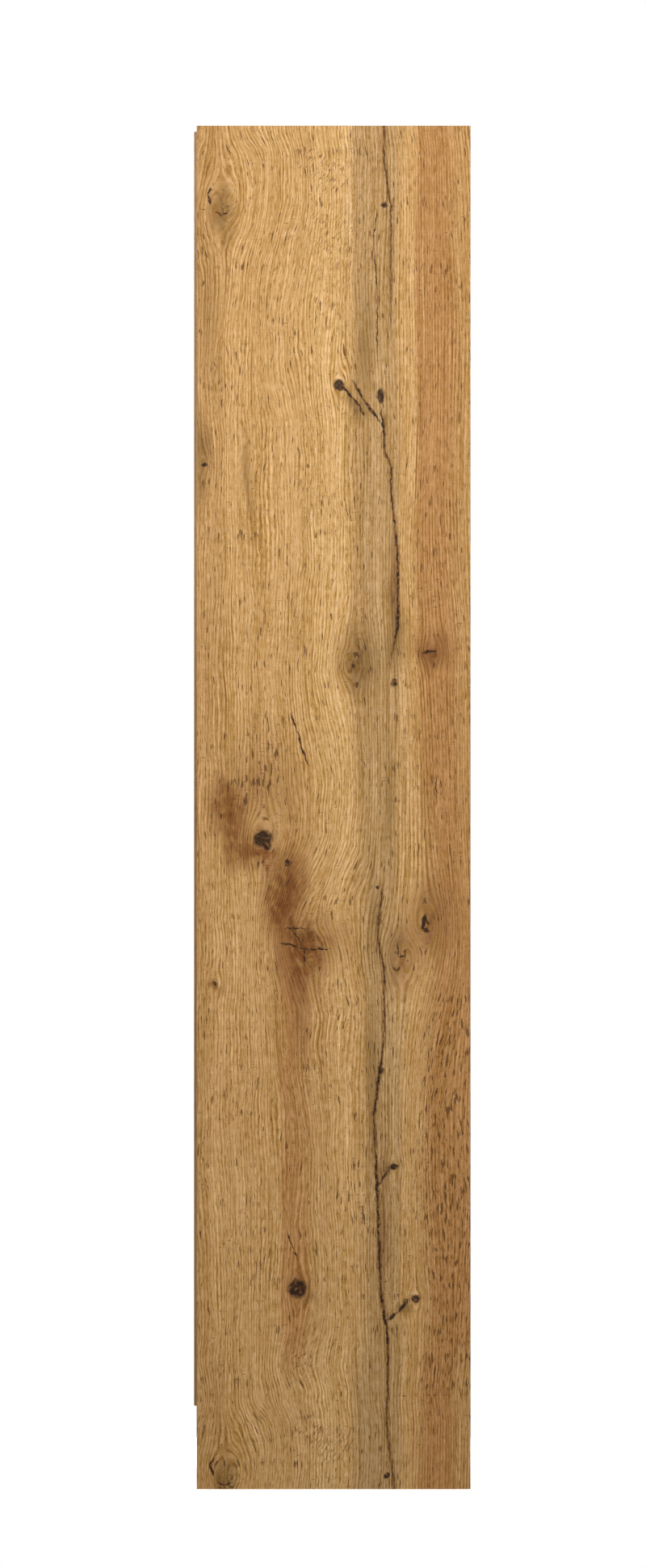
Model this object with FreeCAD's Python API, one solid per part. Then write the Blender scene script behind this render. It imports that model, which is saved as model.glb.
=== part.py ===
import FreeCAD, Part
import os

# A tall two-door pantry cabinet of oak-decor board, made to be put together from flat
# boards: full-height side panels, a top, a bottom and a fixed middle shelf drawn tight by
# cams and dowels, loose shelves on pins, a thin back in two halves, a set-back plinth and
# two doors with no handles that a push latch throws open.
# Millimetres. X runs along the width, the doors face -Y, and Z = 0 is the floor.

V = FreeCAD.Vector

# Carcass
WIDTH = 800.0
HEIGHT = 1970.0
SIDE_DEPTH = 396.0         # a side panel, from its front edge to its rear edge
BOARD = 16.0               # thickness of every carcass board
PLINTH_HEIGHT = 112.0      # floor to the underside of the bottom panel
PLINTH_SETBACK = 20.0      # plinth face behind the front edge of the bottom panel
BAND = 1.0                 # edge band of the carcass boards
BAND_ROUNDING = 0.8
SHELF_SETBACK = 10.0       # loose shelves behind the fixed ones
SHELF_END_PLAY = 1.0       # loose shelf to side panel, each end

# Doors
DOOR_THICKNESS = 16.0
DOOR_PROUD = 4.0           # door faces in front of the side panels' edges
DOOR_LAP = 8.0             # over the front edges of the top and bottom panels
DOOR_GAP = 3.0             # door to side panel, and door to door
CLOSING_GAP = 3.5          # closed door to the board edges behind it
DOOR_BAND = 2.0
DOOR_FRONT_ROUNDING = 1.5
DOOR_BACK_ROUNDING = 1.0

# Back
BACK_THICKNESS = 3.0
BACK_INSET = 10.0          # rear of the back to the rear edge of the sides
GROOVE_DEPTH = 8.0
GROOVE_PLAY = 0.3          # each face of the back in its groove
BACK_END_PLAY = 0.5        # edge of the back to the bottom of its groove
STRIP_SHEET = 0.8          # flanges of the joint strip
STRIP_WEB = 1.0
STRIP_WIDTH = 14.0
STRIP_PLAY = 0.1
SHELF_BACK_GAP = 1.0       # shelves to the joint strip

# Cams, bolts and dowels
CAM_RADIUS = 7.5
CAM_PLAY = 0.1
CAM_RECESS = 0.3           # cam below the board's face
CAM_REACH = 34.0           # cam centre to the end of the board
CAM_FROM_EDGE = 50.0       # front edge, and back, to the nearest cam
CAM_POCKET = 3.9           # half the hollow for the bolt's head
CAM_SLOT = 2.4             # half the slot for the bolt's neck
CAM_SOCKET = 2.6           # radius of the driver's hollow
CAM_SOCKET_DEPTH = 1.6
BOLT_HEAD = 3.4
BOLT_NECK = 2.0
BOLT_SHANK = 3.0
BOLT_COLLAR = 3.9
BOLT_BORE = 4.0
BOLT_THREAD = 2.45
BOLT_THREAD_HOLE = 2.5
BOLT_IN_SIDE = 10.5
DOWEL_RADIUS = 4.0
DOWEL_PLAY = 0.05
DOWEL_IN_SIDE = 10.0
DOWEL_IN_BOARD = 20.0
DOWEL_STEP = 32.0          # dowel to cam
HOLE_END_PLAY = 1.0        # blind holes deeper than what they hold
CAP_RADIUS = 8.5
CAP_HEIGHT = 0.8
CAP_STEM = 2.5
CAP_STEM_LENGTH = 1.4

# Shelf pins
PIN_RADIUS = 2.5
PIN_PLAY = 0.1
PIN_IN_SIDE = 9.0
PIN_DROP = 2.0             # pin's axis below the shelf
PIN_HEAD = 3.6
PIN_HEAD_LENGTH = 8.0
PIN_HOLE_STEP = 32.0
PIN_HOLE_DEPTH = 11.0
PIN_REAR_FROM_BACK = 40.0

# Hinges, in plan: u from the side panel's inner face, w back from the door's back face
HINGE_FROM_END = 100.0     # outer hinges to the ends of the door
HINGE_FROM_SHELF = 48.0    # inner hinges to the loose shelves beside them
PIVOT_U = 11.0
PIVOT_W = -8.9
HINGE_PIN = 1.25
KNUCKLE = 1.9
KNUCKLE_PLAY = 0.05
EAR_PLAY = 0.02
ARM_SHEET = 2.2
ARM_WIDTH = 11.0
ARM_START_W = -9.55        # middle of the sheet, beside the pin
ARM_NECK_U = 24.5          # middle of the sheet, out of the cup
ARM_BACK_W = 4.9           # middle of the sheet, behind the door
ARM_END_W = 58.0
EAR_GAP = 0.3
EAR_SHEET = 1.6
EAR_HALF_U = 2.8
EAR_TOP_W = -6.6
CUP_BORE = 17.5
CUP_TAB = 3.0              # cup bore to the edge of the door
CUP_DEPTH = 12.0
CUP_PLAY = 0.1
CUP_WALL = 0.8
FLANGE_SHEET = 1.2
FLANGE_RADIUS = 19.0
FLANGE_EAR_U = (26.0, 40.0)
FLANGE_HALF_LENGTH = 29.0
FLANGE_ROUNDING = 5.0
CUP_SCREW_U = 33.0
CUP_SCREW_Z = 22.5
PLATE_SHEET = 2.5
PLATE_ROUNDING = 4.0
PLATE_RAIL = 5.0           # height of the rail that the arm lies on
PLATE_RAIL_W = (12.0, 60.0)
PLATE_RAIL_HALF = 6.5
PLATE_WING_W = (28.0, 46.0)
PLATE_WING_HALF = 24.0
PLATE_SCREW_W = 37.0
PLATE_SCREW_Z = 16.0
ARM_SCREW_W = (20.0, 50.0)

# Screws: shank radius, length under the head, head radius, head height
WOOD_SCREW = (1.5, 11.0, 3.4, 1.6)
PLATE_SCREW = (2.45, 12.5, 4.0, 1.5)
ARM_SCREW = (1.9, 6.0, 3.3, 1.5)
SCREW_PLAY = 0.1
RECESS_WIDTH = 1.0
RECESS_DEPTH = 0.9

# Push latches
LATCH_FROM_MIDDLE = 30.0
LATCH_SETBACK = 2.5        # behind the front edge of the fixed shelf
LATCH_LENGTH = 62.0
LATCH_WIDTH = 14.0
LATCH_HEIGHT = 14.0
LATCH_FOOT_WIDTH = 36.0
LATCH_FOOT_SHEET = 2.5
LATCH_FOOT_Y = (10.0, 44.0)
LATCH_FOOT_ROUNDING = 4.0
LATCH_ROUNDING = 1.5
LATCH_SCREW_X = 12.5
PLUNGER_DROP = 7.5         # plunger's axis below the shelf
PLUNGER_RADIUS = 4.4
PLUNGER_PLAY = 0.08
PLUNGER_REACH = 54.0       # into the housing
PLUNGER_CHAMFER = 0.6
STRIKE_RADIUS = 8.0
STRIKE_SHEET = 1.2
STRIKE_GAP = 0.3           # plunger's tip to the strike

# Wall brackets
BRACKET_FROM_SIDE = 100.0
BRACKET_WIDTH = 30.0
BRACKET_SHEET = 2.0
BRACKET_DEPTH = 34.0
BRACKET_DROP = 30.0
BRACKET_ROUNDING = 4.0
WALL_HOLE = 3.25
WALL_HOLE_DROP = 20.0
WALL_HOLE_IN_BACK = 4.0
BRACKET_SCREW_X = 8.0
BRACKET_SCREW_FROM_FRONT = 10.0

# Main planes, from the sizes above
FRONT = -(SIDE_DEPTH + DOOR_PROUD) / 2
SIDE_FRONT = FRONT + DOOR_PROUD
REAR = SIDE_FRONT + SIDE_DEPTH
DOOR_BACK = FRONT + DOOR_THICKNESS
BOARD_FRONT = DOOR_BACK + CLOSING_GAP
LOOSE_FRONT = BOARD_FRONT + SHELF_SETBACK
INSIDE = WIDTH / 2 - BOARD
FLOOR_TOP = PLINTH_HEIGHT + BOARD
CEILING = HEIGHT - BOARD
MIDDLE = (FLOOR_TOP + CEILING - BOARD) / 2
PLINTH_FRONT = BOARD_FRONT + PLINTH_SETBACK
PLINTH_REAR = PLINTH_FRONT + BOARD
BACK_REAR = REAR - BACK_INSET
BACK_FRONT = BACK_REAR - BACK_THICKNESS
STRIP_FRONT = BACK_FRONT - STRIP_PLAY - STRIP_SHEET
SHELF_REAR = STRIP_FRONT - SHELF_BACK_GAP
DOOR_Z = (PLINTH_HEIGHT + DOOR_LAP, HEIGHT - DOOR_LAP)
PIN_ROWS = (DOOR_BACK + PLATE_SCREW_W, BACK_FRONT - PIN_REAR_FROM_BACK)
CAM_ROWS = (BOARD_FRONT + CAM_FROM_EDGE, BACK_FRONT - CAM_FROM_EDGE)
LATCH_FRONT = BOARD_FRONT + LATCH_SETBACK
PLUNGER_Z = MIDDLE - PLUNGER_DROP
CUP_U = DOOR_GAP + CUP_TAB + CUP_BORE
BRACKET_X = -INSIDE - BOARD + BRACKET_FROM_SIDE


def shelf_heights(low, high):
    """Undersides of the two loose shelves that split a bay into three equal spaces."""
    space = (high - low - 2 * BOARD) / 3
    return [low + space, low + 2 * space + BOARD]


SHELVES = shelf_heights(FLOOR_TOP, MIDDLE) + shelf_heights(MIDDLE + BOARD, CEILING)
HINGES = [
    DOOR_Z[0] + HINGE_FROM_END,
    SHELVES[1] + BOARD + HINGE_FROM_SHELF,
    SHELVES[2] - HINGE_FROM_SHELF,
    DOOR_Z[1] - HINGE_FROM_END,
]


# ---- Shapes used by many pieces ----

def box(x, y, z):
    """A box from its low and high sides along X, Y and Z."""
    return Part.makeBox(x[1] - x[0], y[1] - y[0], z[1] - z[0], V(x[0], y[0], z[0]))


def rod(radius, start, end):
    return Part.makeCylinder(radius, (end - start).Length, start, end - start)


def mirrored(shape):
    """The same piece on the other side of the cabinet."""
    return shape.mirror(V(0, 0, 0), V(1, 0, 0))


def both_sides(shapes):
    return shapes + [mirrored(shape) for shape in shapes]


def fused(shapes):
    return shapes[0].fuse(shapes[1:]).removeSplitter()


def edges_at(shape, y):
    """The edges that lie in the plane at this y."""
    flat = 0.001
    boxes = [(edge, edge.BoundBox) for edge in shape.Edges]
    return [edge for edge, its in boxes if abs(its.YMin - y) < flat and abs(its.YMax - y) < flat]


def short_edges(shape, length):
    """The edges of this length, such as the corners of a piece of sheet."""
    return [e for e in shape.Edges if abs(e.Length - length) < 0.001]


def screw(kind, seat, out):
    """A pan-head screw with a cross recess, its head's underside at seat, pointing out."""
    shank_radius, length, head_radius, head_height = kind
    body = fused([
        Part.makeCylinder(shank_radius, length, V(0, 0, -length)),
        Part.makeCylinder(head_radius, head_height),
    ])
    body = body.makeFillet(head_height / 2, [e for e in body.Edges if e.BoundBox.ZMin > head_height / 2])
    top = (head_height - RECESS_DEPTH, head_height)
    arm = (-head_radius / 2, head_radius / 2)
    blade = (-RECESS_WIDTH / 2, RECESS_WIDTH / 2)
    body = body.cut([box(arm, blade, top), box(blade, arm, top)])
    body.Placement = FreeCAD.Placement(seat, FreeCAD.Rotation(V(0, 0, 1), out))
    return body


def screw_hole(kind, seat, out, play=SCREW_PLAY):
    """The blind hole for that screw."""
    return rod(kind[0] + play, seat - out * (kind[1] + HOLE_END_PLAY), seat + out)


# ---- Cams, bolts, dowels and caps ----
# Each is drawn with the board's end at x = 0, the board towards -X and the face that the
# cam is let into at z = 0, then placed on the right-hand joints and mirrored.

def on_joint(shape, y, z, tip=0):
    """Placed on a right-hand joint, turned by tip degrees about the joint's own axis."""
    placed = shape.copy()
    placed.Placement = FreeCAD.Placement(V(INSIDE, y, z), FreeCAD.Rotation(V(1, 0, 0), tip))
    return placed


def cam():
    axis = BOARD / 2
    top = axis + CAM_POCKET + 2 * CAM_RECESS
    body = rod(CAM_RADIUS, V(-CAM_REACH, 0, CAM_RECESS), V(-CAM_REACH, 0, top))
    head_x = (-CAM_REACH - 1, -CAM_REACH + CAM_POCKET)
    neck_x = (-CAM_REACH, -CAM_REACH + CAM_RADIUS)
    pocket = box(head_x, (-CAM_POCKET, CAM_POCKET), (axis - CAM_POCKET, axis + CAM_POCKET))
    slot = box(neck_x, (-CAM_SLOT, CAM_SLOT), (axis - CAM_SLOT, axis + CAM_SLOT))
    socket_top = CAM_RECESS + CAM_SOCKET_DEPTH
    socket = rod(CAM_SOCKET, V(-CAM_REACH, 0, 0), V(-CAM_REACH, 0, socket_top))
    reach = 2 * CAM_SOCKET
    blade = RECESS_WIDTH / 2
    cross = [
        box((-CAM_REACH - reach, -CAM_REACH + reach), (-blade, blade), (0, socket_top)),
        box((-CAM_REACH - blade, -CAM_REACH + blade), (-reach, reach), (0, socket_top)),
    ]
    return body.cut([pocket, slot, socket] + cross)


def cam_bolt():
    axis = BOARD / 2
    steps = [
        (BOLT_HEAD, -CAM_REACH, -CAM_REACH + 2.6),
        (BOLT_NECK, -CAM_REACH + 2.6, -CAM_REACH + CAM_RADIUS + 1),
        (BOLT_SHANK, -CAM_REACH + CAM_RADIUS + 1, -2),
        (BOLT_COLLAR, -2, 0),
        (BOLT_THREAD, 0, BOLT_IN_SIDE),
    ]
    return fused([rod(radius, V(x0, 0, axis), V(x1, 0, axis)) for radius, x0, x1 in steps])


def cam_cap():
    disc = rod(CAP_RADIUS, V(-CAM_REACH, 0, -CAP_HEIGHT), V(-CAM_REACH, 0, 0))
    disc = disc.makeFillet(CAP_HEIGHT / 2, [e for e in disc.Edges if e.BoundBox.ZMax < -CAP_HEIGHT / 2])
    stem = rod(CAP_STEM, V(-CAM_REACH, 0, 0), V(-CAM_REACH, 0, CAP_STEM_LENGTH))
    return fused([disc, stem])


def dowel():
    return rod(DOWEL_RADIUS, V(-DOWEL_IN_BOARD, 0, 0), V(DOWEL_IN_SIDE, 0, 0))


def cam_bore():
    """What is bored from a board for its cam and bolt."""
    axis = BOARD / 2
    depth = axis + CAM_POCKET + 3 * CAM_RECESS
    pocket = rod(CAM_RADIUS + CAM_PLAY, V(-CAM_REACH, 0, -1), V(-CAM_REACH, 0, depth))
    return fused([pocket, rod(BOLT_BORE, V(-CAM_REACH, 0, axis), V(1, 0, axis))])


def bolt_hole():
    """The hole in the side panel for the bolt's thread."""
    axis = BOARD / 2
    return rod(BOLT_THREAD_HOLE, V(-1, 0, axis), V(BOLT_IN_SIDE + HOLE_END_PLAY, 0, axis))


def dowel_hole():
    start = -DOWEL_IN_BOARD - HOLE_END_PLAY
    return rod(DOWEL_RADIUS + DOWEL_PLAY, V(start, 0, 0), V(DOWEL_IN_SIDE + HOLE_END_PLAY, 0, 0))


PANEL_UNDERSIDES = (PLINTH_HEIGHT, MIDDLE, CEILING)
CAM_PLACES = [(y, z, 0) for z in PANEL_UNDERSIDES for y in CAM_ROWS]
CAM_PLACES.append((PLINTH_REAR, PLINTH_HEIGHT / 2, 90))
DOWEL_ROWS = (CAM_ROWS[0] + DOWEL_STEP, CAM_ROWS[1] - DOWEL_STEP)
DOWEL_PLACES = [(y, z + BOARD / 2) for z in PANEL_UNDERSIDES for y in DOWEL_ROWS]
for side in (-1, 1):
    DOWEL_PLACES.append((PLINTH_FRONT + BOARD / 2, PLINTH_HEIGHT / 2 + side * DOWEL_STEP))
CAP_PLACES = [(y, z, 0) for z in PANEL_UNDERSIDES[1:] for y in CAM_ROWS]
JOINT_BORES = both_sides(
    [on_joint(cam_bore(), *place) for place in CAM_PLACES]
    + [on_joint(dowel_hole(), *place) for place in DOWEL_PLACES]
)


# ---- Boards ----

def edge_band(x, front, z, rounding=BAND_ROUNDING):
    """The band on a board's front edge, its two outer corners rounded."""
    band = box(x, (front, front + BAND), z)
    long_way = max(x[1] - x[0], z[1] - z[0])
    corners = [e for e in edges_at(band, front) if e.Length > long_way - 1]
    return band.makeFillet(rounding, corners)


def left_side_panel():
    """Bored for its pins, bolts, dowels and hinge plates, and grooved for the back."""
    panel = box((-INSIDE - BOARD, -INSIDE), (SIDE_FRONT + BAND, REAR), (0, HEIGHT))
    groove = box(
        (-INSIDE - GROOVE_DEPTH, -INSIDE + 1),
        (BACK_FRONT - GROOVE_PLAY, BACK_REAR + GROOVE_PLAY),
        (-1, HEIGHT + 1),
    )
    cuts = [groove]
    cuts += [mirrored(on_joint(bolt_hole(), *place)) for place in CAM_PLACES]
    cuts += [mirrored(on_joint(dowel_hole(), *place)) for place in DOWEL_PLACES]
    for shelf in SHELVES:
        for step in (-1, 0, 1):
            z = shelf - PIN_DROP + step * PIN_HOLE_STEP
            for y in PIN_ROWS:
                bottom = V(-INSIDE - PIN_HOLE_DEPTH, y, z)
                cuts.append(rod(PIN_RADIUS + PIN_PLAY, bottom, V(-INSIDE + 1, y, z)))
    for seat in plate_screw_seats():
        cuts.append(screw_hole(PLATE_SCREW, seat, V(1, 0, 0)))
    return panel.cut(cuts)


def left_side_edge_band():
    return edge_band((-INSIDE - BOARD, -INSIDE), SIDE_FRONT, (0, HEIGHT))


def panel(z, rear, groove_z=None):
    """A fixed board between the sides, less its band, bored at both ends."""
    board = box((-INSIDE, INSIDE), (BOARD_FRONT + BAND, rear), (z, z + BOARD))
    board = board.cut(JOINT_BORES)
    if groove_z:
        groove_y = (BACK_FRONT - GROOVE_PLAY, BACK_REAR + GROOVE_PLAY)
        board = board.cut(box((-INSIDE - 1, INSIDE + 1), groove_y, groove_z))
    return board


def top_panel():
    board = panel(CEILING, REAR, (CEILING - 1, CEILING + GROOVE_DEPTH))
    holes = [screw_hole(WOOD_SCREW, seat, V(0, 0, -1)) for seat in bracket_screw_seats()]
    return board.cut(both_sides(holes))


def bottom_panel():
    return panel(PLINTH_HEIGHT, REAR, (FLOOR_TOP - GROOVE_DEPTH, FLOOR_TOP + 1))


def fixed_shelf():
    board = panel(MIDDLE, SHELF_REAR)
    holes = [screw_hole(WOOD_SCREW, seat, V(0, 0, -1)) for seat in latch_screw_seats()]
    return board.cut(both_sides(holes))


def adjustable_shelf(z):
    end = INSIDE - SHELF_END_PLAY
    return box((-end, end), (LOOSE_FRONT + BAND, SHELF_REAR), (z, z + BOARD))


def board_edge_bands():
    """One band on the front edge of each fixed and loose board."""
    bands = [edge_band((-INSIDE, INSIDE), BOARD_FRONT, (z, z + BOARD)) for z in PANEL_UNDERSIDES]
    end = INSIDE - SHELF_END_PLAY
    bands += [edge_band((-end, end), LOOSE_FRONT, (z, z + BOARD)) for z in SHELVES]
    return bands


def plinth_board():
    board = box((-INSIDE, INSIDE), (PLINTH_FRONT, PLINTH_REAR), (0, PLINTH_HEIGHT))
    return board.cut(JOINT_BORES)


def shelf_pins(z):
    """Four pins under one loose shelf, each a peg with a half-round head, flat on top."""
    pins = []
    axis = z - PIN_DROP
    for y in PIN_ROWS:
        peg = rod(PIN_RADIUS, V(-INSIDE - PIN_IN_SIDE, y, axis), V(-INSIDE, y, axis))
        head = rod(PIN_HEAD, V(-INSIDE, y, axis), V(-INSIDE + PIN_HEAD_LENGTH, y, axis))
        above = box(
            (-INSIDE - 1, -INSIDE + PIN_HEAD_LENGTH + 1),
            (y - 2 * PIN_HEAD, y + 2 * PIN_HEAD),
            (z, z + 2 * PIN_HEAD),
        )
        pins.append(fused([peg, head.cut(above)]))
    return both_sides(pins)


# ---- Back ----

def back_panel_left():
    edge = -INSIDE - GROOVE_DEPTH + BACK_END_PLAY
    z = (FLOOR_TOP - GROOVE_DEPTH, CEILING + GROOVE_DEPTH - BACK_END_PLAY)
    sheet = box((edge, -STRIP_WEB / 2), (BACK_FRONT, BACK_REAR), z)
    height = CEILING - WALL_HOLE_DROP
    hole = rod(WALL_HOLE_IN_BACK, V(BRACKET_X, BACK_FRONT - 1, height), V(BRACKET_X, BACK_REAR + 1, height))
    return sheet.cut(hole)


def back_joint_strip():
    """An H-section strip that joins the two halves of the back."""
    z = (FLOOR_TOP, CEILING)
    flange_x = (-STRIP_WIDTH / 2, STRIP_WIDTH / 2)
    rear_start = BACK_REAR + STRIP_PLAY
    return fused([
        box((-STRIP_WEB / 2, STRIP_WEB / 2), (BACK_FRONT - STRIP_PLAY, rear_start), z),
        box(flange_x, (STRIP_FRONT, STRIP_FRONT + STRIP_SHEET), z),
        box(flange_x, (rear_start, rear_start + STRIP_SHEET), z),
    ])


# ---- Hinges of the left door ----

def plan(u, w, z):
    """A point by its distance from the side panel and behind the closed door."""
    return V(-INSIDE + u, DOOR_BACK + w, z)


def plan_box(u, w, z):
    return box((-INSIDE + u[0], -INSIDE + u[1]), (DOOR_BACK + w[0], DOOR_BACK + w[1]), z)


def upright(radius, u, w, z):
    """A vertical rod from its place in plan and its two heights."""
    return rod(radius, plan(u, w, z[0]), plan(u, w, z[1]))


def into_door(radius, u, z, w):
    """A rod square to the door, between two depths."""
    return rod(radius, plan(u, w[0], z), plan(u, w[1], z))


def around(z, half):
    return (z - half, z + half)


def hinge_cup(z):
    """A pressed cup with its flange, and two ears on its floor that hold the pin."""
    bottom = -CUP_DEPTH + CUP_PLAY
    outer = into_door(CUP_BORE - CUP_PLAY, CUP_U, z, (bottom, FLANGE_SHEET))
    hollow = into_door(CUP_BORE - CUP_PLAY - CUP_WALL, CUP_U, z, (bottom + CUP_WALL, FLANGE_SHEET + 1))
    disc = into_door(FLANGE_RADIUS, CUP_U, z, (0, FLANGE_SHEET))
    ears = plan_box(FLANGE_EAR_U, (0, FLANGE_SHEET), around(z, FLANGE_HALF_LENGTH))
    ears = ears.makeFillet(FLANGE_ROUNDING, short_edges(ears, FLANGE_SHEET))
    shell = fused([outer, disc, ears]).cut(hollow)
    inner = ARM_WIDTH / 2 + EAR_GAP
    ear_u = (PIVOT_U - EAR_HALF_U, PIVOT_U + EAR_HALF_U)
    ear_w = (bottom, EAR_TOP_W)
    for low in (-inner - EAR_SHEET, inner):
        ear = plan_box(ear_u, ear_w, (z + low, z + low + EAR_SHEET))
        shell = fused([shell, ear.common(outer)])
    pin_hole = upright(HINGE_PIN + EAR_PLAY, PIVOT_U, PIVOT_W, around(z, inner + 2 * EAR_SHEET))
    screw_holes = [
        into_door(WOOD_SCREW[0] + 2 * SCREW_PLAY, CUP_SCREW_U, z + side * CUP_SCREW_Z, (-1, FLANGE_SHEET + 1))
        for side in (-1, 1)
    ]
    return shell.cut([pin_hole] + screw_holes)


def hinge_pin(z):
    return upright(HINGE_PIN, PIVOT_U, PIVOT_W, around(z, ARM_WIDTH / 2 + EAR_GAP + EAR_SHEET))


def hinge_arm(z):
    """A strip bent like a goose neck: from the pin, out of the cup and back along the plate."""
    along_plate_u = PLATE_RAIL + ARM_SHEET / 2
    route = [
        (PIVOT_U, ARM_START_W),
        (ARM_NECK_U, ARM_START_W),
        (ARM_NECK_U, ARM_BACK_W),
        (along_plate_u, ARM_BACK_W),
        (along_plate_u, ARM_END_W),
    ]
    height = around(z, ARM_WIDTH / 2)
    half = ARM_SHEET / 2
    pieces = [upright(half, u, w, height) for u, w in route]
    for (u0, w0), (u1, w1) in zip(route, route[1:]):
        if u0 == u1:
            pieces.append(plan_box((u0 - half, u0 + half), (min(w0, w1), max(w0, w1)), height))
        else:
            pieces.append(plan_box((min(u0, u1), max(u0, u1)), (w0 - half, w0 + half), height))
    pieces.append(upright(KNUCKLE, PIVOT_U, PIVOT_W, height))
    arm = fused(pieces).cut(upright(HINGE_PIN + KNUCKLE_PLAY, PIVOT_U, PIVOT_W, around(z, ARM_WIDTH)))
    holes = [screw_hole(ARM_SCREW, seat, V(1, 0, 0), 2 * SCREW_PLAY) for seat in arm_screw_seats(z)]
    return arm.cut(holes)


def hinge_plate(z):
    """A cross-shaped plate: a rail for the arm, and two wings that are screwed to the side."""
    rail = plan_box((0, PLATE_RAIL), PLATE_RAIL_W, around(z, PLATE_RAIL_HALF))
    wings = plan_box((0, PLATE_SHEET), PLATE_WING_W, around(z, PLATE_WING_HALF))
    wings = wings.makeFillet(PLATE_ROUNDING, short_edges(wings, PLATE_SHEET))
    cuts = [screw_hole(ARM_SCREW, seat, V(1, 0, 0)) for seat in arm_screw_seats(z)]
    for side in (-1, 1):
        seat = plan(PLATE_SHEET, PLATE_SCREW_W, z + side * PLATE_SCREW_Z)
        cuts.append(screw_hole(PLATE_SCREW, seat, V(1, 0, 0), 2 * SCREW_PLAY))
    return fused([rail, wings]).cut(cuts)


def arm_screw_seats(z):
    return [plan(PLATE_RAIL + ARM_SHEET, w, z) for w in ARM_SCREW_W]


def plate_screw_seats():
    return [plan(PLATE_SHEET, PLATE_SCREW_W, z + side * PLATE_SCREW_Z) for z in HINGES for side in (-1, 1)]


def cup_screw_seats():
    return [plan(CUP_SCREW_U, FLANGE_SHEET, z + side * CUP_SCREW_Z) for z in HINGES for side in (-1, 1)]


# ---- Left door ----

LEFT_DOOR_X = (-INSIDE + DOOR_GAP, -DOOR_GAP / 2)


def door_core():
    """The door's board inside its band, bored for four hinge cups."""
    x = (LEFT_DOOR_X[0] + DOOR_BAND, LEFT_DOOR_X[1] - DOOR_BAND)
    core = box(x, (FRONT, DOOR_BACK), (DOOR_Z[0] + DOOR_BAND, DOOR_Z[1] - DOOR_BAND))
    cuts = [into_door(CUP_BORE, CUP_U, z, (-CUP_DEPTH, 1)) for z in HINGES]
    cuts += [screw_hole(WOOD_SCREW, seat, V(0, 1, 0)) for seat in cup_screw_seats()]
    return core.cut(cuts)


def door_edge_band():
    """A thick band round all four edges, well rounded in front and a little behind."""
    outer = box(LEFT_DOOR_X, (FRONT, DOOR_BACK), DOOR_Z)
    outer = outer.makeFillet(DOOR_FRONT_ROUNDING, edges_at(outer, FRONT))
    outer = outer.makeFillet(DOOR_BACK_ROUNDING, edges_at(outer, DOOR_BACK))
    x = (LEFT_DOOR_X[0] + DOOR_BAND, LEFT_DOOR_X[1] - DOOR_BAND)
    z = (DOOR_Z[0] + DOOR_BAND, DOOR_Z[1] - DOOR_BAND)
    return outer.cut(box(x, (FRONT - 1, DOOR_BACK + 1), z))


# ---- Push latch of the left door ----

def latch_screw_seats():
    y = LATCH_FRONT + sum(LATCH_FOOT_Y) / 2
    z = MIDDLE - LATCH_FOOT_SHEET
    return [V(-LATCH_FROM_MIDDLE + side * LATCH_SCREW_X, y, z) for side in (-1, 1)]


def push_latch():
    """A moulded housing under the fixed shelf, with a foot on each side for its screws."""
    half = LATCH_WIDTH / 2
    y = (LATCH_FRONT, LATCH_FRONT + LATCH_LENGTH)
    underside = MIDDLE - LATCH_HEIGHT
    housing = box((-LATCH_FROM_MIDDLE - half, -LATCH_FROM_MIDDLE + half), y, (underside, MIDDLE))
    lower = [e for e in housing.Edges if e.BoundBox.ZMax < underside + 1]
    housing = housing.makeFillet(LATCH_ROUNDING, lower)
    half = LATCH_FOOT_WIDTH / 2
    foot_y = (LATCH_FRONT + LATCH_FOOT_Y[0], LATCH_FRONT + LATCH_FOOT_Y[1])
    foot = box(
        (-LATCH_FROM_MIDDLE - half, -LATCH_FROM_MIDDLE + half),
        foot_y,
        (MIDDLE - LATCH_FOOT_SHEET, MIDDLE),
    )
    foot = foot.makeFillet(LATCH_FOOT_ROUNDING, short_edges(foot, LATCH_FOOT_SHEET))
    bore_end = plunger_back() + HOLE_END_PLAY
    bore = rod(
        PLUNGER_RADIUS + PLUNGER_PLAY,
        V(-LATCH_FROM_MIDDLE, LATCH_FRONT - 1, PLUNGER_Z),
        V(-LATCH_FROM_MIDDLE, bore_end, PLUNGER_Z),
    )
    holes = [screw_hole(WOOD_SCREW, seat, V(0, 0, -1)) for seat in latch_screw_seats()]
    return fused([housing, foot]).cut([bore] + holes)


def plunger_back():
    return LATCH_FRONT + PLUNGER_REACH


def latch_plunger():
    tip = DOOR_BACK + STRIKE_SHEET + STRIKE_GAP
    start = V(-LATCH_FROM_MIDDLE, tip, PLUNGER_Z)
    plunger = rod(PLUNGER_RADIUS, start, V(-LATCH_FROM_MIDDLE, plunger_back(), PLUNGER_Z))
    return plunger.makeChamfer(PLUNGER_CHAMFER, edges_at(plunger, tip))


def latch_strike():
    """A steel disc stuck to the door's back for the plunger's magnet."""
    back = DOOR_BACK + STRIKE_SHEET
    start = V(-LATCH_FROM_MIDDLE, DOOR_BACK, PLUNGER_Z)
    disc = rod(STRIKE_RADIUS, start, V(-LATCH_FROM_MIDDLE, back, PLUNGER_Z))
    return disc.makeChamfer(STRIKE_SHEET / 3, edges_at(disc, back))


# ---- Wall brackets ----

def bracket_screw_seats():
    y = BACK_FRONT - BRACKET_DEPTH + BRACKET_SCREW_FROM_FRONT
    z = CEILING - BRACKET_SHEET
    return [V(BRACKET_X + side * BRACKET_SCREW_X, y, z) for side in (-1, 1)]


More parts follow.
